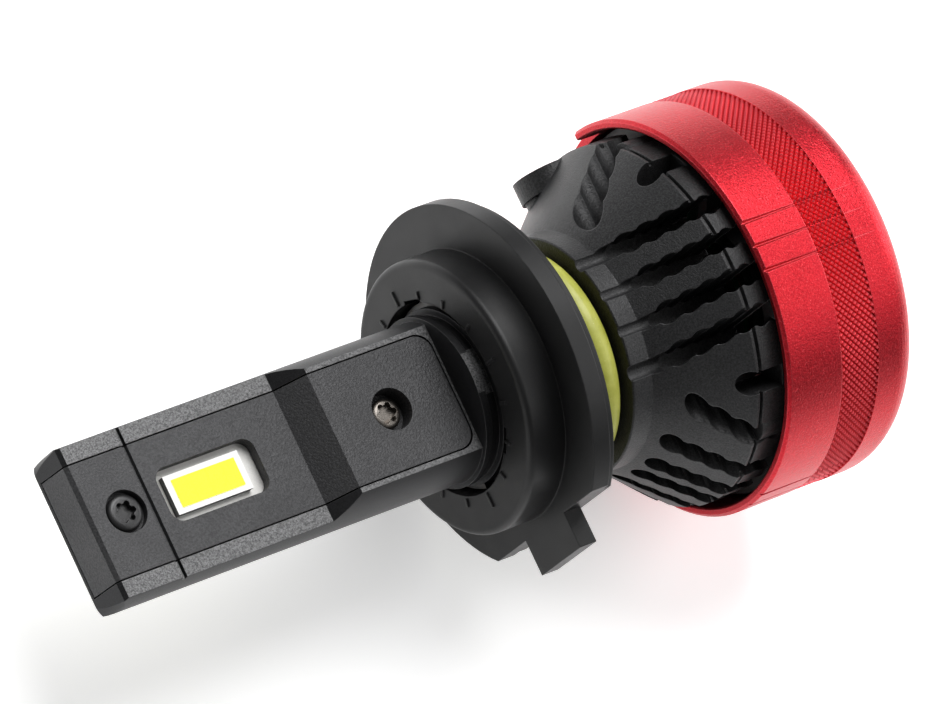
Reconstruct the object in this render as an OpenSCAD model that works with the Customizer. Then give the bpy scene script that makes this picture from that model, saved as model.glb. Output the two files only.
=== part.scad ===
// LED headlight bulb with a turning H7 pattern collar and a fan-cooled driver head.
// X runs along the bulb, tip at -X. The lit faces look up and down (Z).
// The collar's orientation tab points to -Y. The origin is on the axis, at the
// front of the collar flange, which is the reference plane of the bulb.

/* [Light bar] */
// Radius of the round bar
bar_r = 5.8; // [5.7:0.05:5.9]
// Height of the flat LED face above the axis
thin_z = 1.8; // [1.7:0.05:1.9]
// Height of the rear flat above the axis
thick_z = 3.45; // [3.3:0.05:3.6]
// Width of the cover plates
plate_w = 8.4; // [8.2:0.1:8.6]
// Distance from the reference plane to the tip
tip_len = 33.5; // [33:0.1:35]
// Distance from the reference plane to the middle of the LED
led_len = 23.3; // [23:0.1:23.6]

/* [Collar] */
// Radius of the flange
flange_r = 13; // [12.8:0.1:13.2]
// Thickness of the flange
flange_t = 1.4; // [1.3:0.05:1.5]
// Radius of the boss that enters the lamp
hub_r = 9.85; // [9.6:0.05:10]
// Height of the boss in front of the flange
hub_h = 3; // [2.8:0.1:3.2]
// Running clearance between the collar and the neck, on the radius
turn_gap = 0.1; // [0.08:0.01:0.12]

/* [Head] */
// Outer radius of the fan cover
cover_r = 14.42; // [14.4:0.02:14.6]
// Front edge of the fan cover
cover_x0 = 15.75; // [15.6:0.05:15.9]
// Rear face of the fan cover
cover_x1 = 27.3; // [27.2:0.1:27.6]
// Largest radius of the heat sink fins
fin_r = 13.1; // [12.9:0.1:13.2]
// Spacing of the cooling slots
slot_pitch = 2.8; // [2.7:0.05:2.9]
// Number of fan blades
blades = 9; // [7:1:9]

/* [Hidden] */
$fn = 48;

black = [0.11, 0.11, 0.12];
grey = [0.33, 0.33, 0.34];
red = [0.82, 0.12, 0.16];
copper = [0.72, 0.42, 0.25];
steel = [0.6, 0.58, 0.55];

// bar
step_x0 = -16;             // slope from the LED section up to the rear section
step_x1 = -14;
lip_x = -3.95;             // round lip that ends the bar
lip_r = 6.13;
plate_end = -4.15;         // rear end of the cover plates
plate_gap = 0.1;           // gap line around each plate
tip_x = -tip_len;
lip_t = 0.5;               // tip wall of the front cover plate
core_half = 0.5;           // half thickness of the copper core
board_t = 0.25;            // LED circuit board
cover_base = core_half + board_t + 0.05;
window = [8, 3.9, 0.9];    // length, width and corner radius of the LED window
screw_x = [-30.15, -9.1];  // tip and rear screws
counterbore_r = 1.52;
crease_x = -28.4;          // shallow groove across the bar

// neck and collar
neck_r = 6.35;
bore_r = 6.94;             // wide front bore of the collar
bore_step = -1.2;          // where it narrows to the neck
collar_back = 2.6;
tab_y = 13.35;
tail_r = 5.3;              // end of the bar inside the heat sink
tab_half = 3;
flat_y = 10.7;             // flat of the flange on the tab side
ring_x = 5.5;              // O-ring
ring_major = 7.15;
ring_minor = 1;

// heat sink
sink_x0 = 2.85;
cone_x0 = 6.8;
cone_r0 = 8.63;
cone_x = [8.45, 13.6];     // conical part
cone_r1 = 12.8;
sleeve_r = 6.1;            // seat of the O-ring
fin_end = 16.6;
floor_z = 7.7;             // floor of the cooling slots
cavity_r = 6.9;
seat_r = 7.6;
seat_x = 15.55;            // ledge that the driver board rests on
outlet = [13.9, 12.95, -2];  // middle of the cable outlet's face
outlet_r = 2.6;
gland_r = 1.85;
cord_r = 1.2;

// fan and cover
fan_x0 = 18.5;
fan_x1 = 25.5;
fan_bore = 11;
fan_r = 13.55;
post_r = 12.05;            // circle of the cover screws
post_angles = [33, 147, 213, 327];
screw_r = 0.7;
cover_in = 13.75;
knurl_x = [20.35, 23.6];
groove_angles = [for (side = [0, 90, 270]) for (k = [-1, 0, 1]) side + 7.2 * k];
round_r = 1.9;

// --- helpers --------------------------------------------------------------

// Cylinder along X from x0 to x1
module rod(x0, x1, r) {
    translate([x0, 0, 0]) rotate([0, 90, 0]) cylinder(h = x1 - x0, r = r);
}

// Ring along X
module ring(x0, x1, r_out, r_in) {
    difference() {
        rod(x0, x1, r_out);
        rod(x0 - 1, x1 + 1, r_in);
    }
}

// Solid of revolution about X from points [radius, x]
module turned(points) {
    rotate([0, 90, 0]) rotate_extrude() polygon(points);
}

// Prism along Y from points [x, z]
module side_prism(points, width) {
    rotate([90, 0, 0]) linear_extrude(width, center = true) polygon(points);
}

// Turns its children about X; 0 is -Y, 90 is +Z and 180 is +Y
module at_angle(a) {
    rotate([-a, 0, 0]) children();
}

// Moves children made at the origin out to radius r at angle a
module polar(a, r, x) {
    at_angle(a) translate([x, -r, 0]) children();
}

module mirror_copy() {
    children();
    mirror([0, 0, 1]) children();
}

// Rectangle with rounded ends, without offset
module rounded_rect(x0, x1, w, r) {
    translate([x0 + r, -w / 2]) square([x1 - x0 - 2 * r, w]);
    translate([x0, -w / 2 + r]) square([x1 - x0, w - 2 * r]);
    for (x = [x0 + r, x1 - r]) for (y = [-w / 2 + r, w / 2 - r])
        translate([x, y]) circle(r = r);
}

// --- light bar ------------------------------------------------------------

// Side outline of the bar from the foot of the tip to the lip, over its upper face
upper_outline = [
    [tip_x, -thin_z + 0.25], [tip_x + 0.45, thin_z - 0.25], [tip_x + 0.75, thin_z],
    [crease_x, thin_z], [crease_x + 0.04, thin_z - 0.3],
    [crease_x + 0.3, thin_z - 0.3], [crease_x + 0.4, thin_z - 0.05],
    [step_x0, thin_z - 0.05], [step_x1, thick_z], [lip_x + 1, thick_z]];

module bar_blank() {
    lower = [[lip_x + 1, -thick_z], [step_x1, -thick_z], [step_x0, -thin_z],
        [tip_x + 0.35, -thin_z]];
    intersection() {
        rod(tip_x - 1, lip_x + 0.6, bar_r);
        side_prism(concat(upper_outline, lower), 2 * bar_r);
        translate([0, 0, -bar_r]) linear_extrude(2 * bar_r)
            rounded_rect(tip_x, lip_x + 2, 2 * bar_r, 1.1);
    }
}

// Channel that takes the plates, w wide
module channel(w, x0, end_x, z0, z1) {
    translate([0, 0, z0]) linear_extrude(z1 - z0) {
        translate([x0, -w / 2]) square([end_x - x0 - 2, w]);
        rounded_rect(end_x - 6, end_x, w, 1.25);
    }
}

module bar_frame() {
    color(grey) {
        difference() {
            bar_blank();
            for (s = [0, 1]) mirror([0, 0, s])
                channel(plate_w + 2 * plate_gap, tip_x + lip_t + 0.1, plate_end + plate_gap,
                    cover_base - 0.05, 8);
            translate([tip_x - 1, -plate_w / 2 - plate_gap, -thin_z + 0.5])
                cube([1 + lip_t + 0.1, plate_w + 2 * plate_gap, 6]);
            translate([-32, -plate_w / 2, -cover_base]) cube([26, plate_w, 2 * cover_base]);
            core_slot();
            crease_back();
        }
        difference() {
            union() {
                rod(lip_x + 0.05, lip_x + 0.6, lip_r);
                rod(lip_x + 0.5, -2.6, 5.9);
                rod(-2.6, sink_x0, neck_r);
                rod(sink_x0, 8.4, tail_r);
            }
            core_slot();
            ring(-2, -1.4, 8, 5.75);
        }
    }
}

module crease_back() {
    translate([crease_x, -7, -thin_z - 0.35]) cube([0.4, 14, 0.5]);
}

module core_slot() {
    translate([-7, -plate_w / 2, -core_half - 0.02]) cube([20, plate_w, 2 * core_half + 0.04]);
}

// Cover plate in the upper channel; tip wraps it over the end of the bar
module bar_cover(wrap) {
    x0 = wrap ? tip_x : tip_x + lip_t + 0.2;
    difference() {
        intersection() {
            union() {
                side_prism(concat([[x0 + 0.02, cover_base], [x0, cover_base]],
                    wrap ? [[x0, thin_z - 0.25], [x0 + 0.75, thin_z]] : [[x0, thin_z]],
                    [for (p = upper_outline) if (p[0] > tip_x + 1) p],
                    [[lip_x + 1, cover_base]]), plate_w);
                if (wrap) side_prism([[tip_x + 0.02, -thin_z + 0.6],
                    [tip_x + 0.45, thin_z - 0.3], [tip_x + lip_t, cover_base + 0.2],
                    [tip_x + lip_t, -thin_z + 0.6]], plate_w);
            }
            channel(plate_w, tip_x - 1, plate_end, -thin_z, 8);
            if (wrap) side_prism(concat(upper_outline, [[lip_x + 1, -thin_z]]), plate_w);
        }
        translate([-led_len, 0, 0]) linear_extrude(4)
            rounded_rect(-window[0] / 2 + 0.2, window[0] / 2 + 0.2, window[1], window[2]);
        translate([screw_x[0], 0, 0]) {
            cylinder(h = 6, r = 0.85);
            translate([0, 0, 1.15]) cylinder(h = 6, r = counterbore_r);
        }
        translate([screw_x[1], 0, 0]) {
            cylinder(h = 6, r = 0.85);
            translate([0, 0, 1.9]) cylinder(h = 6, r = counterbore_r);
        }
    }
}

module bar_cover_front() { color(grey) bar_cover(true); }

module bar_cover_back() { color(grey) mirror([0, 0, 1]) bar_cover(false); }

module copper_core() {
    color(copper) difference() {
        translate([-31.9, -plate_w / 2 + 0.05, -core_half])
            cube([41.2, plate_w - 0.1, 2 * core_half]);
        for (x = screw_x) translate([x, 0, -2]) cylinder(h = 4, r = 0.8);
    }
}

module led_board() {
    translate([-31.7, -plate_w / 2 + 0.15, core_half]) difference() {
        cube([14.2, plate_w - 0.3, board_t]);
        translate([31.7 + screw_x[0], plate_w / 2 - 0.15, -1]) cylinder(h = 3, r = 1);
    }
}

module led_board_front() { color("ivory") led_board(); }

module led_board_back() { color("ivory") mirror([0, 0, 1]) led_board(); }

module led_package() {
    translate([-led_len - 3.05, -1.4, core_half + board_t]) cube([6.1, 2.8, 0.6]);
}

module led_package_front() { color("white") led_package(); }

module led_package_back() { color("white") mirror([0, 0, 1]) led_package(); }

module phosphor() {
    translate([-led_len - 2.55, -1, core_half + board_t + 0.6]) cube([5.1, 2, 0.08]);
}

module phosphor_front() { color("yellow") phosphor(); }

module phosphor_back() { color("yellow") mirror([0, 0, 1]) phosphor(); }

// Six-lobed recess
module lobe_recess(r, depth) {
    translate([0, 0, -depth]) linear_extrude(depth + 2) {
        circle(r = 0.72 * r);
        for (a = [0:60:300]) rotate(a) translate([0.72 * r, 0]) circle(r = 0.27 * r);
    }
}

// Machine screw with its head's top at z = top and its end at z = 0.05
module bar_screw(top, head_r, head_h) {
    difference() {
        union() {
            translate([0, 0, top - head_h]) rotate_extrude() polygon(concat([[0, 0], [head_r, 0]],
                [for (t = [0:15:75]) [head_r - 0.45 + 0.45 * cos(t), head_h - 0.3 + 0.3 * sin(t)]],
                [[head_r - 0.5, head_h], [0, head_h]]));
            translate([0, 0, 0.05]) cylinder(h = top - head_h, r = 0.78);
        }
        translate([0, 0, top]) lobe_recess(0.8, 0.5);
    }
}

module tip_screws() {
    color("dimgray") mirror_copy() translate([screw_x[0], 0, 0]) bar_screw(1.72, 1.3, 0.55);
}

module rear_screws() {
    color(steel) mirror_copy() translate([screw_x[1], 0, 0]) bar_screw(2.65, 1.1, 0.72);
}

// --- collar ---------------------------------------------------------------

module flange_plan() {
    difference() {
        union() {
            circle(r = flange_r);
            translate([-tab_half, -tab_y]) square([2 * tab_half, 6]);
        }
        for (s = [-1, 1]) scale([s, 1]) translate([tab_half, -tab_y - 2])
            square([12, tab_y + 2 - flat_y]);
    }
}

module mounting_collar() {
    color(black) difference() {
        union() {
            rotate([90, 0, 90]) linear_extrude(flange_t) rotate(-90) flange_plan();
            turned(concat([[0, -hub_h]],
                [for (t = [90:-15:0]) [hub_r - 0.5 + 0.5 * cos(t), -hub_h + 0.5 - 0.5 * sin(t)]],
                [[hub_r, 0.5], [0, 0.5]]));
            intersection() {
                rod(flange_t - 0.05, 2, 12.6);
                translate([0, -flat_y, -20]) cube([4, 40, 40]);
            }
            rod(1.9, collar_back, 9.3);
            for (k = [0:15]) index_mark(k);
        }
        rod(-hub_h - 1, bore_step, bore_r);
        rod(-hub_h, collar_back + 1, neck_r + turn_gap);
        for (a = [45, 165, 285]) bayonet_slot(a);
    }
}

// Raised mark on the front of the boss, longer at every quarter turn
module index_mark(k) {
    long = k % 4 == 0 ? 1.1 : 0.6;
    at_angle(22.5 * k) translate([-hub_h - 0.12, -bore_r - 0.15 - long, -0.11])
        cube([0.2, long, 0.22]);
}

// Keyway that lets the collar pass the lugs of the neck
module bayonet_slot(a) {
    polar(a, bore_r - 0.1, 0) translate([-hub_h - 1, -0.28, -1]) cube([hub_h + 1 + bore_step, 0.6, 2]);
}

module collar_snap_ring() {
    color(steel) difference() {
        ring(-1.95, -1.45, 6.75, 5.8);
        translate([-3, -8, -1.5]) cube([3, 4, 3]);
    }
}

module collar_o_ring() {
    color([0.8, 0.83, 0.4]) rotate([0, 90, 0]) rotate_extrude()
        translate([ring_major, ring_x]) circle(r = ring_minor);
}

// --- heat sink and cable outlet -------------------------------------------

module sink_blank() {
    turned([[0, sink_x0], [sleeve_r, sink_x0], [sleeve_r, cone_x0], [cone_r0 - 0.1, cone_x0],
        [cone_r0, cone_x0 + 0.1], [cone_r0, cone_x[0]], [cone_r1, cone_x[1]], [fin_r, 14],
        [fin_r, 14.2], [fin_r - 0.35, 14.25], [fin_r - 0.35, 14.45], [fin_r, 14.5],
        [fin_r, fin_end], [0, fin_end]]);
}

// Cooling slot opened along Z, with scalloped walls
module slot(y, x0, floor_h, half = 0.6) {
    translate([0, y, floor_h]) {
        translate([x0 + half, -half, 0]) cube([20 - x0, 2 * half, 10]);
        for (x = [x0 + half + 0.3:1.25:fin_end + 1]) translate([x, 0, 0])
            cylinder(h = 10, r = half + 0.18);
    }
}

// Round-bottomed groove that leads from the neck into a slot
module slot_lead(y, r, depth) {
    translate([0, y, sqrt(cone_r0 * cone_r0 - y * y) + r - depth]) {
        rod(cone_x0 - 1, 11, r);
        translate([cone_x0 - 1, -r, 0]) cube([12 - cone_x0, 2 * r, 5]);
    }
}

module slots_up() {
    for (k = [-1.5:1:1.5]) {
        slot(k * slot_pitch, 9.3, abs(k) > 1 ? floor_z - 0.9 : floor_z);
        slot_lead(k * slot_pitch, abs(k) > 1 ? 0.55 : 0.45, abs(k) > 1 ? 0.45 : 0.25);
    }
}

module slots_side() {
    at_angle(90) for (s = [-1, 1]) {
        mirror([0, 0, 1]) {
            slot(s * 1.05, 8.9, floor_z);
            slot(s * 3.7, 9, floor_z - 0.4);
            slot(s * 7, 10, floor_z - 1.4);
        }
        slot(s * 6.2, 9, floor_z - 1.5, 1.05);
    }
}

// Short drop-shaped slot on the diagonals
module slot_drop(a) {
    at_angle(a) translate([0, -10.6, 0]) rotate([90, 0, 0]) {
        translate([13.7, 0, 0]) cylinder(h = 6, r = 0.9);
        translate([13.7, -0.8, 0]) cube([2.5, 1.6, 6]);
    }
}

module outlet_bore(r, y0, y1) {
    translate([outlet[0], y0, outlet[2]]) rotate([-90, 0, 0]) cylinder(h = y1 - y0, r = r);
}

// Oblong rim of the outlet, flat on top
module outlet_rim() {
    hull() for (x = [0, 0.8]) translate([x, 0, 0]) outlet_bore(outlet_r, 11.35, outlet[1]);
}

module heat_sink() {
    color(black) difference() {
        union() {
            difference() {
                sink_blank();
                slots_up();
                mirror([0, 0, 1]) slots_up();
                slots_side();
                for (a = [51, 129, 231, 309]) slot_drop(a);
            }
            outlet_bore(outlet_r - 0.25, 6, 11.5);
            outlet_rim();
            for (a = post_angles) polar(a, post_r, 0) rod(14.6, fan_x0, 1.25);
        }
        rod(8.4, seat_x, cavity_r);
        rod(seat_x, 20, seat_r);
        rod(0, 10, tail_r + 0.02);
        outlet_bore(gland_r, 9, 14);
        outlet_bore(cord_r + 0.3, 5, 10);
        for (a = post_angles) polar(a, post_r, 0) rod(15.2, 20, screw_r + 0.02);
    }
}

module cable_gland() {
    color(black) difference() {
        outlet_bore(gland_r - 0.02, 9.05, outlet[1] - 0.1);
        outlet_bore(cord_r, 8, 14);
    }
}

// --- driver ---------------------------------------------------------------

module led_leads() {
    color("firebrick") for (y = [-3, -1, 1, 3]) translate([0, y, core_half + 0.32])
        rod(8.45, seat_x, 0.3);
}

module driver_board() {
    color("darkgreen") rod(seat_x, seat_x + 0.9, seat_r - 0.1);
}

module driver_inductor() {
    color([0.2, 0.2, 0.2]) translate([0, 0, -4]) {
        rod(11.4, 12.1, 2.4);
        rod(12, 14.8, 1.6);
        rod(14.7, seat_x, 2.4);
    }
}

module driver_capacitors() {
    color("saddlebrown") for (y = [-1.8, 1.8]) translate([0, y, 4.4]) rod(10.6, seat_x, 1.5);
}

module driver_chips() {
    color([0.15, 0.15, 0.15]) {
        translate([seat_x + 0.9, -4, -1.8]) cube([0.9, 3.6, 3.6]);
        translate([seat_x + 0.9, 1.2, -1.2]) cube([0.8, 2.4, 2.4]);
        translate([seat_x - 1, 4, -3]) cube([1, 1.8, 2.4]);
    }
}

// --- fan ------------------------------------------------------------------

module fan_frame() {
    color(black) difference() {
        union() {
            ring(fan_x0, fan_x1, fan_r, fan_bore);
            rod(fan_x0, fan_x0 + 0.8, 4.9);
            rod(fan_x0 + 0.7, 23.3, 2);
            for (a = [15, 135, 255]) at_angle(a)
                translate([fan_x0, -fan_bore - 0.5, -0.6]) cube([0.8, fan_bore - 3, 1.2]);
        }
        rod(fan_x0 + 0.9, 24, 1.55);
        rod(fan_x0 + 0.35, fan_x0 + 1, 1.3);
        for (a = post_angles) polar(a, post_r, 0) rod(fan_x0 - 1, fan_x1 + 1, screw_r + 0.05);
    }
}

module fan_circuit_board() {
    color("darkgreen") ring(fan_x0 + 0.85, fan_x0 + 1.4, 4.7, 2.02);
}

module stator_core() {
    color("silver") difference() {
        intersection() {
            union() {
                rod(20.6, 22.8, 2.9);
                for (a = [0:90:270]) at_angle(a) {
                    translate([20.6, -4, -0.5]) cube([2.2, 3, 1]);
                    translate([20.6, -4.5, -1.9]) cube([2.2, 0.7, 3.8]);
                }
            }
            rod(20, 23, 4.45);
        }
        rod(20, 24, 2.02);
    }
}

module stator_coils() {
    color(copper) for (a = [0:90:270]) at_angle(a) difference() {
        translate([20.25, -3.75, -0.9]) cube([2.9, 0.8, 1.8]);
        translate([20.55, -5, -0.55]) cube([2.3, 4, 1.1]);
    }
}

module bearing_sleeve() {
    color("darkgoldenrod") ring(fan_x0 + 1, 23.3, 1.53, 0.79);
}

module fan_shaft() {
    color("silver") difference() {
        rod(fan_x0 + 0.45, 24.6, 0.75);
        ring(fan_x0 + 0.6, fan_x0 + 0.76, 2, 0.6);
    }
}

module shaft_clip() {
    color(steel) difference() {
        ring(fan_x0 + 0.61, fan_x0 + 0.75, 1.1, 0.61);
        translate([fan_x0, -2, -0.45]) cube([1, 1.6, 0.9]);
    }
}

module rotor_magnet() {
    color("dimgray") ring(20.3, 23.4, 5.4, 4.75);
}

module fan_blade() {
    translate([22.6, -8.2, 0]) rotate([0, 38, 0]) cube([5, 5.4, 0.5], center = true);
}

module fan_rotor() {
    color(black) {
        ring(20.2, 24.3, 6.1, 5.42);
        difference() {
            union() {
                rod(24.2, 24.9, 6.1);
                rod(23.6, 24.3, 1.6);
            }
            rod(20, 24.6, 0.76);
        }
        intersection() {
            for (k = [0:blades - 1]) at_angle(k * 360 / blades) fan_blade();
            ring(20.3, 24.8, 10.6, 6.05);
        }
    }
}

// --- cover ----------------------------------------------------------------

module inlet_grille() {
    color(black) difference() {
        union() {
            ring(fan_x1, 26.3, cover_in - 0.1, 10.4);
            for (r = [4.4, 7.4]) ring(fan_x1, 26.2, r + 0.35, r - 0.35);
            for (a = [0:60:300]) at_angle(a) translate([fan_x1, -10.6, -0.4]) cube([0.7, 8.8, 0.8]);
            rod(fan_x1, 26.2, 2.2);
        }
        for (a = post_angles) polar(a, post_r, 0) rod(fan_x1 - 1, 27, screw_r + 0.05);
    }
}

// V groove that starts at the cover's front edge and runs out towards the rear
module cover_groove(a) {
    at_angle(a) translate([cover_x0 - 0.5, -cover_r + 0.19, 0]) rotate([0, 0, -1.05])
        rotate([45, 0, 0]) translate([0, -0.7, 0]) cube([11, 0.7, 0.7]);
}

module fan_cover() {
    color(red) difference() {
        turned(concat([[cover_in, cover_x0 + 0.12], [cover_in + 0.12, cover_x0],
            [cover_r - 0.22, cover_x0], [cover_r, cover_x0 + 0.22],
            [cover_r, knurl_x[0]], [cover_r - 0.25, knurl_x[0]],
            [cover_r - 0.25, knurl_x[1]], [cover_r, knurl_x[1]]],
            [for (t = [0:9:90]) [cover_r - round_r + round_r * cos(t),
                cover_x1 - round_r + round_r * sin(t)]],
            [[10.8, cover_x1], [10.5, cover_x1 - 0.3], [10.5, 26.35], [cover_in, 26.35]]));
        translate([cover_x0 - 1, 12, outlet[2] - 2.6]) cube([3, 4, 4.97]);
        for (a = groove_angles) cover_groove(a);
        for (a = post_angles) polar(a, post_r, 0) {
            rod(26, 28, screw_r + 0.05);
            rod(26.7, 28, 1.15);
        }
    }
}

module cover_screws() {
    color(steel) for (a = post_angles) polar(a, post_r, 0) difference() {
        union() {
            rod(16, 26.8, screw_r);
            rod(26.72, 27.2, 1.05);
        }
        translate([27.2, 0, 0]) rotate([0, 90, 0]) lobe_recess(0.6, 0.3);
    }
}

bar_frame();
bar_cover_front();
bar_cover_back();
copper_core();
led_board_front();
led_board_back();
led_package_front();
led_package_back();
phosphor_front();
phosphor_back();
tip_screws();
rear_screws();
mounting_collar();
collar_snap_ring();
collar_o_ring();
heat_sink();
cable_gland();
led_leads();
driver_board();
driver_inductor();
driver_capacitors();
driver_chips();
fan_frame();
fan_circuit_board();
stator_core();
stator_coils();
bearing_sleeve();
fan_shaft();
fan_rotor();
rotor_magnet();
shaft_clip();
inlet_grille();
fan_cover();
cover_screws();
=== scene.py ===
"""Looks of the LED headlight bulb: camera, floor, lights, materials and the cover's diamond knurl."""
import math

import bpy
from mathutils import Matrix, Vector


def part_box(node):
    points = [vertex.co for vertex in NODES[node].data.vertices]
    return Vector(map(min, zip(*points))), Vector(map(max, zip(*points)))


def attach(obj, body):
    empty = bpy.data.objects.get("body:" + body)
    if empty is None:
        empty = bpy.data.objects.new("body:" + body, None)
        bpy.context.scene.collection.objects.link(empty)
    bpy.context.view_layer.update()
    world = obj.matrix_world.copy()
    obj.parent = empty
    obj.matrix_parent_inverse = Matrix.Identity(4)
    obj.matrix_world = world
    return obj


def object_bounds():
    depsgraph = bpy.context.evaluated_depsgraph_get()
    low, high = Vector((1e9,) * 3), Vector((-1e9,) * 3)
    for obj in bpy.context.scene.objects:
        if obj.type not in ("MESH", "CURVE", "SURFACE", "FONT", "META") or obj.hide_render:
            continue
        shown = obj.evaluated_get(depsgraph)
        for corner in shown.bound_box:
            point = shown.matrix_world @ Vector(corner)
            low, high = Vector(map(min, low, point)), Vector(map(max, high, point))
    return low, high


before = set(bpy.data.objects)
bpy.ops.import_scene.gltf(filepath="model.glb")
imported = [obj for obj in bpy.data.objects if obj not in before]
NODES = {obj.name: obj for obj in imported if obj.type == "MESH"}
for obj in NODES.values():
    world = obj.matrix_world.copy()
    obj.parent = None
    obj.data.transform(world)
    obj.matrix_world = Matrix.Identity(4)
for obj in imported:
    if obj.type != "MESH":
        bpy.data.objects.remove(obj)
CAD_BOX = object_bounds()

MM = 0.001

# Sizes of the cover, and of the shallow band in it that carries the knurl
COVER_LO, COVER_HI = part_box("fan_cover")
COVER_R = COVER_HI.z
KNURL_X0 = COVER_LO.x + 4.6 * MM
KNURL_W = 3.25 * MM
KNURL_BASE = COVER_R - 0.25 * MM

# Camera: angles in degrees, lengths in metres, focal length on a 36 mm sensor
AZIMUTH = -74.24
ELEVATION = 57.0
ROLL = 51.3
LOOK_AT = Vector((0.25, 2.34, 0.57)) * MM
DISTANCE = 592.1 * MM
FOCAL_LENGTH = 331.6

# Lamps: offsets along the view's right, up and back, then diameter in metres and power in watts
LAMPS = {
    "key": (0.16, 0.42, 0.30, 0.42, 3.2),
    "side": (0.46, 0.05, 0.20, 0.40, 0.7),
    "rear": (0.45, 0.22, -0.10, 0.30, 1.1),
    "low": (-0.30, -0.30, 0.32, 0.20, 0.15),
}
SKY_STRENGTH = 0.16
FLOOR_HALF = 0.6
FLOOR_GAP = 0.1 * MM


# --- camera, floor and lights ---------------------------------------------

def add_object(name, data):
    obj = bpy.data.objects.new(name, data)
    bpy.context.scene.collection.objects.link(obj)
    return obj


def direction(azimuth, elevation):
    """Unit vector from the object towards a viewer at these angles, in degrees."""
    a, e = math.radians(azimuth), math.radians(elevation)
    return Vector((math.sin(a) * math.cos(e), -math.cos(a) * math.cos(e), math.sin(e)))


def aim(obj, place, back, roll):
    """Puts obj at place, looking against back and rolled by roll degrees."""
    right = Vector((0, 0, 1)).cross(back).normalized()
    up = back.cross(right)
    turn = Matrix.Rotation(math.radians(roll), 3, back)
    right, up = turn @ right, turn @ up
    rotation = Matrix((right, up, back)).transposed().to_4x4()
    obj.matrix_world = Matrix.Translation(place) @ rotation


def make_camera():
    data = bpy.data.cameras.new("camera")
    data.sensor_width = 36
    data.lens = FOCAL_LENGTH
    data.clip_start = 0.01
    camera = add_object("camera", data)
    back = direction(AZIMUTH, ELEVATION)
    aim(camera, LOOK_AT + DISTANCE * back, back, ROLL)
    bpy.context.scene.camera = camera
    return camera


def area_light(name, view, right, up, back, size, power):
    """Soft round lamp facing the origin, offset along the camera's right, up and back."""
    data = bpy.data.lights.new(name, "AREA")
    data.shape = "DISK"
    data.size = size
    data.energy = power
    lamp = add_object(name, data)
    place = right * view.col[0] + up * view.col[1] + back * view.col[2]
    turn = place.to_track_quat("Z", "Y").to_matrix().to_4x4()
    lamp.matrix_world = Matrix.Translation(place) @ turn


def make_light(view):
    world = bpy.data.worlds.new("studio")
    world.use_nodes = True
    sky = world.node_tree.nodes["Background"]
    sky.inputs["Color"].default_value = (1, 1, 1, 1)
    sky.inputs["Strength"].default_value = SKY_STRENGTH
    bpy.context.scene.world = world
    for name, numbers in LAMPS.items():
        area_light(name, view, *numbers)


def make_floor():
    z = CAD_BOX[0][2] - FLOOR_GAP
    mesh = bpy.data.meshes.new("floor")
    corners = [(-1, -1), (1, -1), (1, 1), (-1, 1)]
    mesh.from_pydata([(x * FLOOR_HALF, y * FLOOR_HALF, z) for x, y in corners], [], [(0, 1, 2, 3)])
    floor = add_object("floor", mesh)
    mesh.materials.append(floor_paper())


# --- shader nodes ----------------------------------------------------------

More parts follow.
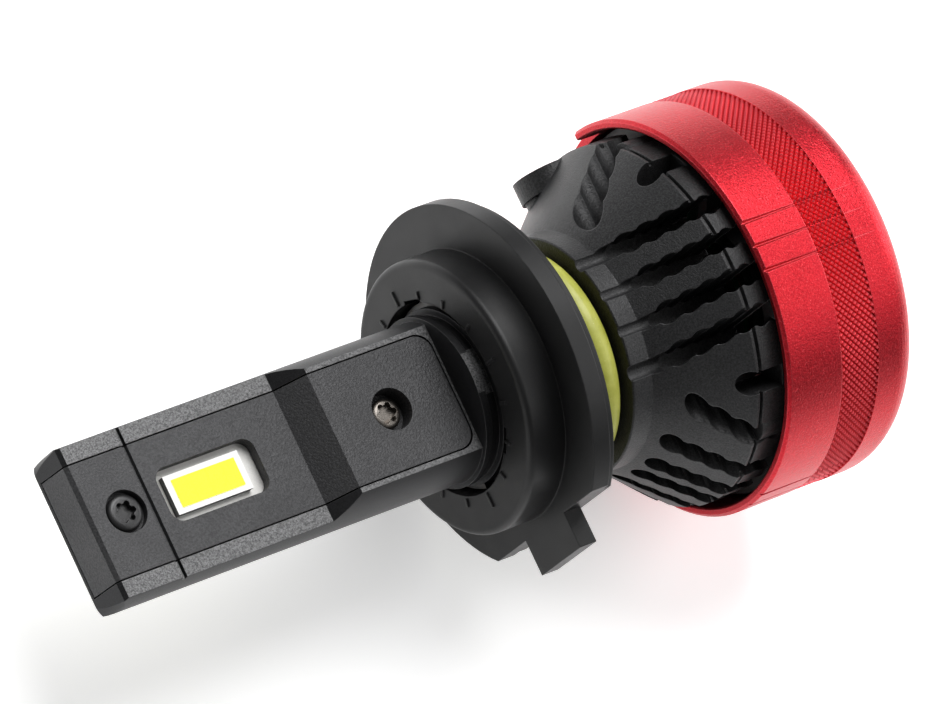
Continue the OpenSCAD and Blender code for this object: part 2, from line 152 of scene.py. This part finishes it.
class Nodes:
    """Small helper that adds shader nodes to one material."""

    SOCKETS = {"metallic": "Metallic", "rough": "Roughness", "spec": "Specular IOR Level",
               "subsurface": "Subsurface Weight", "glow": "Emission Strength"}

    def __init__(self, name):
        self.material = bpy.data.materials.new(name)
        self.material.use_nodes = True
        self.tree = self.material.node_tree
        self.shader = self.tree.nodes["Principled BSDF"]

    def add(self, kind, **inputs):
        node = self.tree.nodes.new(kind)
        for key, value in inputs.items():
            if key in node.inputs:
                node.inputs[key].default_value = value
            else:
                setattr(node, key, value)
        return node

    def link(self, out, into):
        self.tree.links.new(out, into)

    def place(self):
        return self.add("ShaderNodeTexCoord").outputs["Object"]

    def noise(self, size, detail=3.0, roughness=0.6):
        """Noise whose features are about size metres across, from 0 to 1."""
        node = self.add("ShaderNodeTexNoise", Scale=1 / size, Detail=detail, Roughness=roughness)
        self.link(self.place(), node.inputs["Vector"])
        return node.outputs["Fac"]

    def span(self, value, low, high, to_low=0.0, to_high=1.0):
        """Maps the stretch from low to high onto the one from to_low to to_high."""
        node = self.add("ShaderNodeMapRange")
        self.link(value, node.inputs["Value"])
        for key, number in (("From Min", low), ("From Max", high), ("To Min", to_low),
                            ("To Max", to_high)):
            node.inputs[key].default_value = number
        return node.outputs["Result"]

    def mix(self, factor, first, second):
        """Colour from first at factor 0 to second at factor 1; each is a tuple or a socket."""
        node = self.add("ShaderNodeMix", data_type="RGBA")
        self.link(factor, node.inputs["Factor"])
        for socket, colour in ((node.inputs[6], first), (node.inputs[7], second)):
            if isinstance(colour, tuple):
                socket.default_value = (*colour, 1)
            else:
                self.link(colour, socket)
        return node.outputs[2]

    def math(self, operation, first, second=0.0):
        node = self.add("ShaderNodeMath", operation=operation)
        for socket, value in zip(node.inputs, (first, second)):
            if isinstance(value, (int, float)):
                socket.default_value = value
            else:
                self.link(value, socket)
        return node.outputs[0]

    def bump(self, height, strength, distance, normal=None):
        node = self.add("ShaderNodeBump", Strength=strength, Distance=distance)
        self.link(height, node.inputs["Height"])
        if normal is not None:
            self.link(normal, node.inputs["Normal"])
        return node.outputs["Normal"]

    def soft_edges(self, radius):
        node = self.add("ShaderNodeBevel", Radius=radius)
        node.samples = 4
        return node.outputs["Normal"]

    def edge_wear_and_highlight(self, radius):
        """About 0 on flat stretches and 1 on edges sharper than radius."""
        bevel = self.soft_edges(radius)
        flat = self.add("ShaderNodeNewGeometry").outputs["Normal"]
        dot = self.add("ShaderNodeVectorMath", operation="DOT_PRODUCT")
        self.link(bevel, dot.inputs[0])
        self.link(flat, dot.inputs[1])
        return self.span(dot.outputs["Value"], 0.99, 0.86)

    def faces_z(self, limit):
        """1 where the surface's normal is along Z, up or down, by at least limit."""
        normal = self.add("ShaderNodeSeparateXYZ")
        self.link(self.add("ShaderNodeNewGeometry").outputs["True Normal"], normal.inputs[0])
        return self.math("GREATER_THAN", self.math("ABSOLUTE", normal.outputs["Z"]), limit)

    def set(self, **values):
        for key, value in values.items():
            self.shader.inputs[self.SOCKETS[key]].default_value = value

    def finish(self, colour, normal=None, rough=None):
        for name, socket in (("Base Color", colour), ("Normal", normal), ("Roughness", rough)):
            if socket is not None:
                self.link(socket, self.shader.inputs[name])
        return self.material


def shade(colour, factor, lift=0.0):
    return tuple(min(1.0, c * factor + lift) for c in colour)


# --- materials -------------------------------------------------------------

def floor_paper():
    """White paper lit a little from below, as on a light table."""
    m = Nodes("floor_paper")
    m.set(rough=0.9, spec=0.1, glow=0.5)
    tint = m.mix(m.noise(20 * MM), (0.915, 0.915, 0.915), (0.93, 0.93, 0.93))
    m.link(tint, m.shader.inputs["Emission Color"])
    return m.finish(tint)


def grained(name, colour, metallic, rough, grain, bump, spread=0.18, edge=0.0, radius=0.09 * MM,
            painted_glints=0.0, spec=0.5):
    """Blasted or moulded surface with grains of this size.

    spread is the grain's share of brightness, edge the strength of the lighter edges, which are wear
    and painted highlight, radius their rounding, and specks the strength of single bright grains
    painted as glints. Lengths are in metres.
    """
    m = Nodes(name)
    m.set(metallic=metallic, rough=rough, spec=spec)
    fine = m.noise(grain, 2.0)
    broad = m.noise(grain * 30, 3.0)
    tint = m.mix(m.span(fine, 0.35, 0.65), shade(colour, 1 - spread), shade(colour, 1 + spread))
    tint = m.mix(m.span(broad, 0.3, 0.7, 0.0, 0.35), tint, shade(colour, 0.86))
    # Painted glints: single grains painted in a much lighter copy of the colour.
    if painted_glints:
        glint_grains = m.span(m.noise(grain * 0.8, 1.0), 0.68, 0.74, 0.0, painted_glints)
        tint = m.mix(glint_grains, tint, shade(colour, 2.5, 0.015))
    # Lighter edges: wear and a painted highlight, in a lighter copy of the colour.
    if edge:
        wear_and_highlight = m.math("MULTIPLY", m.edge_wear_and_highlight(radius * 0.7), edge)
        tint = m.mix(wear_and_highlight, tint, shade(colour, 2.2, 0.015))
    normal = m.bump(fine, bump, grain * 0.5, m.soft_edges(radius))
    roughness = m.span(broad, 0.3, 0.7, rough - 0.04, rough + 0.05)
    return m.finish(tint, normal, roughness)


def bar_metal():
    """Dark grey anodised bar: coarse and lighter on the flat strips, fine on the round sides."""
    m = Nodes("bar_aluminium")
    m.set(metallic=0.75, rough=0.46)
    flat = m.faces_z(0.97)
    fine = m.noise(0.09 * MM, 2.0)
    coarse = m.noise(0.13 * MM, 3.0, 0.75)
    side = m.mix(m.span(fine, 0.35, 0.65), (0.018, 0.018, 0.019), (0.030, 0.030, 0.032))
    strip = m.mix(m.span(coarse, 0.38, 0.62), (0.055, 0.055, 0.056), (0.17, 0.17, 0.173))
    tint = m.mix(flat, side, strip)
    # Lighter edges: wear and a painted highlight, in lighter grey.
    wear_and_highlight = m.math("MULTIPLY", m.edge_wear_and_highlight(0.06 * MM), 0.45)
    tint = m.mix(wear_and_highlight, tint, (0.16, 0.16, 0.16))
    height = m.math("MULTIPLY", coarse, m.math("ADD", m.math("MULTIPLY", flat, 0.75), 0.25))
    normal = m.bump(height, 0.5, 0.05 * MM, m.soft_edges(0.07 * MM))
    return m.finish(tint, normal, m.span(fine, 0.3, 0.7, 0.42, 0.52))


def red_metal(name, knurled=False):
    """Satin red anodised aluminium with fine painted glints; knurled, it has painted shade in its
    cuts and painted highlights on its crests.
    """
    m = Nodes(name)
    m.set(metallic=0.9, rough=0.42 if knurled else 0.36)
    fine = m.noise(0.15 * MM, 2.0, 0.7)
    # Painted glints: fine bright red spots in the colour.
    painted_glint_spots = m.span(m.noise(0.09 * MM, 1.0), 0.62, 0.70, 0.0, 0.35)
    tint = m.mix(m.span(fine, 0.3, 0.7), (0.34, 0.010, 0.016), (0.60, 0.022, 0.032))
    tint = m.mix(m.span(m.noise(6 * MM), 0.3, 0.7, 0.0, 0.25), tint, (0.55, 0.02, 0.04))
    tint = m.mix(painted_glint_spots, tint, (1.0, 0.14, 0.16))
    if knurled:
        # Painted shade at the bottom of the knurl's cuts and painted highlights on its crests, set by
        # height above the cuts.
        crest = knurl_crest(m)
        tint = m.mix(crest, (0.55, 0.022, 0.032), m.mix(crest, tint, (1.0, 0.14, 0.17)))
        return m.finish(tint, m.bump(fine, 0.3, 0.03 * MM))
    # Lighter edges: wear and a painted highlight, in bright red.
    wear_and_highlight = m.math("MULTIPLY", m.edge_wear_and_highlight(0.10 * MM), 0.5)
    tint = m.mix(wear_and_highlight, tint, (1.0, 0.16, 0.19))
    normal = m.bump(fine, 0.6, 0.06 * MM, m.soft_edges(0.09 * MM))
    return m.finish(tint, normal, m.span(fine, 0.3, 0.7, 0.30, 0.42))


def knurl_crest(m):
    """0 at the bottom of the knurl's cuts and 1 from 0.16 mm above it, by distance from the axis."""
    across = m.add("ShaderNodeVectorMath", operation="MULTIPLY")
    m.link(m.place(), across.inputs[0])
    across.inputs[1].default_value = (0, 1, 1)
    reach = m.add("ShaderNodeVectorMath", operation="LENGTH")
    m.link(across.outputs["Vector"], reach.inputs[0])
    return m.span(reach.outputs["Value"], KNURL_BASE, KNURL_BASE + 0.16 * MM)


def rubber_ring():
    m = Nodes("green_rubber")
    m.set(rough=0.42, subsurface=0.15, spec=0.5)
    m.shader.inputs["Subsurface Radius"].default_value = (0.6 * MM, 0.7 * MM, 0.2 * MM)
    tint = m.mix(m.span(m.noise(1.6 * MM), 0.35, 0.65), (0.36, 0.37, 0.055), (0.47, 0.48, 0.10))
    tint = m.mix(m.span(m.noise(0.25 * MM), 0.66, 0.74, 0.0, 0.5), tint, (0.75, 0.75, 0.35))
    normal = m.bump(m.noise(0.2 * MM), 0.2, 0.02 * MM)
    return m.finish(tint, normal)


def phosphor_layer():
    """Yellow phosphor that glows as painted light, with the faint outline of the chips under it."""
    chip_pitch = 1.27 * MM
    m = Nodes("phosphor")
    # Painted glow: the phosphor emits light, though it is no lamp.
    m.set(rough=0.55, glow=0.55)
    grain = m.noise(0.05 * MM, 2.0)
    tint = m.mix(m.span(grain, 0.3, 0.7), (1.0, 0.86, 0.0), (1.0, 0.95, 0.03))
    place = m.add("ShaderNodeSeparateXYZ")
    m.link(m.place(), place.inputs[0])
    ahead = m.math("ADD", place.outputs["X"], 0.1)
    cell = m.math("FRACT", m.math("MULTIPLY", ahead, 1 / chip_pitch))
    gap = m.math("LESS_THAN", m.math("ABSOLUTE", m.math("SUBTRACT", cell, 0.5)), 0.035)
    tint = m.mix(m.math("MULTIPLY", gap, 0.35), tint, (0.85, 0.66, 0.0))
    m.link(tint, m.shader.inputs["Emission Color"])
    return m.finish(tint, m.bump(grain, 0.2, 0.01 * MM))


def led_body():
    """White frame of the LED, near black on every face that does not face along Z."""
    m = Nodes("led_ceramic")
    m.set(rough=0.4)
    grain = m.noise(0.05 * MM, 2.0)
    white = m.mix(m.span(grain, 0.3, 0.7), (0.86, 0.86, 0.85), (0.94, 0.94, 0.94))
    tint = m.mix(m.faces_z(0.7), (0.012, 0.012, 0.012), white)
    return m.finish(tint, m.bump(grain, 0.1, 0.01 * MM))


def steel(name, colour, rough):
    """Turned or pressed metal with fine lay lines and brownish stains."""
    m = Nodes(name)
    m.set(metallic=0.95, rough=rough)
    lines = m.noise(0.06 * MM, 4.0, 0.7)
    tint = m.mix(m.span(lines, 0.3, 0.7), shade(colour, 0.75), colour)
    stain = m.span(m.noise(0.6 * MM), 0.5, 0.7, 0.0, 0.4)
    tint = m.mix(stain, tint, (colour[0] * 0.7, colour[1] * 0.5, colour[2] * 0.35))
    normal = m.bump(lines, 0.25, 0.02 * MM, m.soft_edges(0.05 * MM))
    return m.finish(tint, normal)


def wound_copper():
    """Enamelled winding: turns about 0.12 mm apart."""
    wire_pitch = 0.12 * MM
    m = Nodes("wound_copper")
    m.set(metallic=0.9, rough=0.3)
    wave = m.add("ShaderNodeTexWave", Scale=1 / wire_pitch / 6.3, Distortion=0.4)
    m.link(m.place(), wave.inputs["Vector"])
    tint = m.mix(wave.outputs["Fac"], (0.35, 0.13, 0.05), (0.75, 0.36, 0.18))
    return m.finish(tint, m.bump(wave.outputs["Fac"], 0.5, 0.04 * MM))


def circuit_board(name, mask, track):
    """Lacquered board: tracks in a mesh of cells about 1.1 mm across."""
    m = Nodes(name)
    m.set(rough=0.32)
    cells = m.add("ShaderNodeTexVoronoi", Scale=1 / (1.1 * MM), feature="DISTANCE_TO_EDGE")
    m.link(m.place(), cells.inputs["Vector"])
    lines = m.span(cells.outputs["Distance"], 0.05, 0.07, 1.0, 0.0)
    tint = m.mix(lines, mask, track)
    return m.finish(tint, m.bump(lines, 0.3, 0.03 * MM))


MATERIALS = {
    "cover_plate": grained("cover_plate", (0.048, 0.048, 0.050), metallic=0.5, rough=0.50,
                           grain=0.14 * MM, bump=0.6, spread=0.32, edge=0.5, radius=0.06 * MM),
    "bar": bar_metal(),
    "collar": grained("black_plastic", (0.007, 0.007, 0.0074), metallic=0.0, rough=0.42,
                      grain=0.09 * MM, bump=0.18, spread=0.15, edge=0.25, radius=0.14 * MM,
                      painted_glints=0.25, spec=0.3),
    "sink": grained("black_aluminium", (0.030, 0.030, 0.031), metallic=0.4, rough=0.42,
                    grain=0.13 * MM, bump=0.6, spread=0.45, edge=0.6, radius=0.10 * MM,
                    painted_glints=0.4, spec=0.4),
    "cover": red_metal("red_aluminium"),
    "knurl": red_metal("knurled_red_aluminium", True),
    "o_ring": rubber_ring(),
    "phosphor": phosphor_layer(),
    "ceramic": led_body(),
    "white_board": grained("white_board", (0.80, 0.79, 0.76), metallic=0.0, rough=0.45,
                           grain=0.08 * MM, bump=0.15, spread=0.05),
    "black_screw": grained("black_screw", (0.035, 0.035, 0.036), metallic=0.5, rough=0.33,
                           grain=0.08 * MM, bump=0.2, spread=0.2, edge=0.5, radius=0.05 * MM),
    "bright_screw": steel("bright_screw", (0.17, 0.155, 0.14), 0.34),
    "spring_steel": steel("spring_steel", (0.10, 0.10, 0.10), 0.4),
    "copper": steel("copper", (0.72, 0.40, 0.24), 0.35),
    "winding": wound_copper(),
    "board": circuit_board("board_green", (0.012, 0.075, 0.035), (0.02, 0.13, 0.06)),
    "ferrite": grained("ferrite", (0.045, 0.045, 0.047), metallic=0.1, rough=0.6,
                       grain=0.08 * MM, bump=0.4),
    "capacitor": grained("capacitor_shell", (0.42, 0.25, 0.06), metallic=0.2, rough=0.35,
                         grain=0.3 * MM, bump=0.1),
    "chip": grained("chip_resin", (0.03, 0.03, 0.031), metallic=0.0, rough=0.55,
                    grain=0.06 * MM, bump=0.3, spread=0.2, edge=0.3, radius=0.06 * MM),
    "fan_plastic": grained("fan_plastic", (0.022, 0.022, 0.023), metallic=0.0, rough=0.48,
                           grain=0.14 * MM, bump=0.25, spread=0.2, edge=0.25, radius=0.12 * MM),
    "lamination": steel("lamination", (0.45, 0.45, 0.45), 0.4),
    "bronze": steel("bronze", (0.55, 0.36, 0.16), 0.4),
    "magnet": grained("magnet", (0.07, 0.07, 0.075), metallic=0.2, rough=0.55,
                      grain=0.1 * MM, bump=0.3),
    "black_rubber": grained("black_rubber", (0.02, 0.02, 0.02), metallic=0.0, rough=0.6,
                            grain=0.1 * MM, bump=0.2),
    "lead": grained("lead_jacket", (0.35, 0.02, 0.02), metallic=0.0, rough=0.4,
                    grain=0.2 * MM, bump=0.1),
}

FINISHES = {
    "cover_plate": ["bar_cover_front", "bar_cover_back"],
    "bar": ["bar_frame"],
    "collar": ["mounting_collar"],
    "sink": ["heat_sink"],
    "cover": ["fan_cover"],
    "o_ring": ["collar_o_ring"],
    "phosphor": ["phosphor_front", "phosphor_back"],
    "ceramic": ["led_package_front", "led_package_back"],
    "white_board": ["led_board_front", "led_board_back"],
    "black_screw": ["tip_screws", "cover_screws"],
    "bright_screw": ["rear_screws", "fan_shaft"],
    "spring_steel": ["collar_snap_ring", "shaft_clip"],
    "copper": ["copper_core"],
    "winding": ["stator_coils"],
    "board": ["driver_board", "fan_circuit_board"],
    "ferrite": ["driver_inductor"],
    "capacitor": ["driver_capacitors"],
    "chip": ["driver_chips"],
    "fan_plastic": ["fan_frame", "fan_rotor", "inlet_grille"],
    "lamination": ["stator_core"],
    "bronze": ["bearing_sleeve"],
    "magnet": ["rotor_magnet"],
    "black_rubber": ["cable_gland"],
    "lead": ["led_leads"],
}


def paint_nodes():
    for look, names in FINISHES.items():
        for name in names:
            data = NODES[name].data
            data.materials.clear()
            data.materials.append(MATERIALS[look])


# --- added piece ------------------------------------------------------------

def mesh_piece(name, points, faces, look, body):
    mesh = bpy.data.meshes.new(name)
    mesh.from_pydata(points, [], faces)
    mesh.materials.append(MATERIALS[look])
    mesh.validate()
    piece = add_object(name, mesh)
    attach(piece, body)


def on_cover(x, angle, radius):
    """Point at this angle round the bulb: 0 is towards the tab and 90 degrees is up."""
    return (x, -radius * math.cos(angle), radius * math.sin(angle))


def ridge(value):
    """1 at every whole number and a half, falling in straight lines to 0 at the whole ones."""
    return 1 - 2 * abs(value - math.floor(value) - 0.5)


def knurl_radius(angle, p, q):
    """Height of the knurl at diamond p round the cover and q along it, cut by the long grooves."""
    lift, depth = 0.01 * MM, 0.24 * MM
    groove_depth, groove_spacing = 0.17 * MM, 7.2
    top = KNURL_BASE + lift + depth * min(ridge(p + q), ridge(p - q))
    for side in (0, 90, 270):
        for k in (-1, 0, 1):
            off = angle - math.radians(side + groove_spacing * k)
            off = (off + math.pi) % (2 * math.pi) - math.pi
            top = min(top, COVER_R - groove_depth + abs(off) * COVER_R)
    return top


def make_knurl():
    """Diamond knurl round the cover: two crossing sets of V cuts, and the long grooves over them."""
    around, along = 172, 7
    steps = 4
    columns, rows = around * steps, along * steps
    points = []
    for j in range(rows + 1):
        x = KNURL_X0 + KNURL_W * j / rows
        for i in range(columns):
            angle = 2 * math.pi * i / columns
            points.append(on_cover(x, angle, knurl_radius(angle, i / steps, j / steps)))
    faces = []
    for j in range(rows):
        for i in range(columns):
            a, b = j * columns + i, j * columns + (i + 1) % columns
            c, d = b + columns, a + columns
            if (i + j) % 2:
                faces += [(a, d, b), (b, d, c)]
            else:
                faces += [(a, d, c), (a, c, b)]
    mesh_piece("cover_knurl", points, faces, "knurl", "bulb")


paint_nodes()
make_knurl()
make_floor()
make_light(make_camera().matrix_world.to_3x3())
bpy.context.scene.view_settings.view_transform = "Standard"
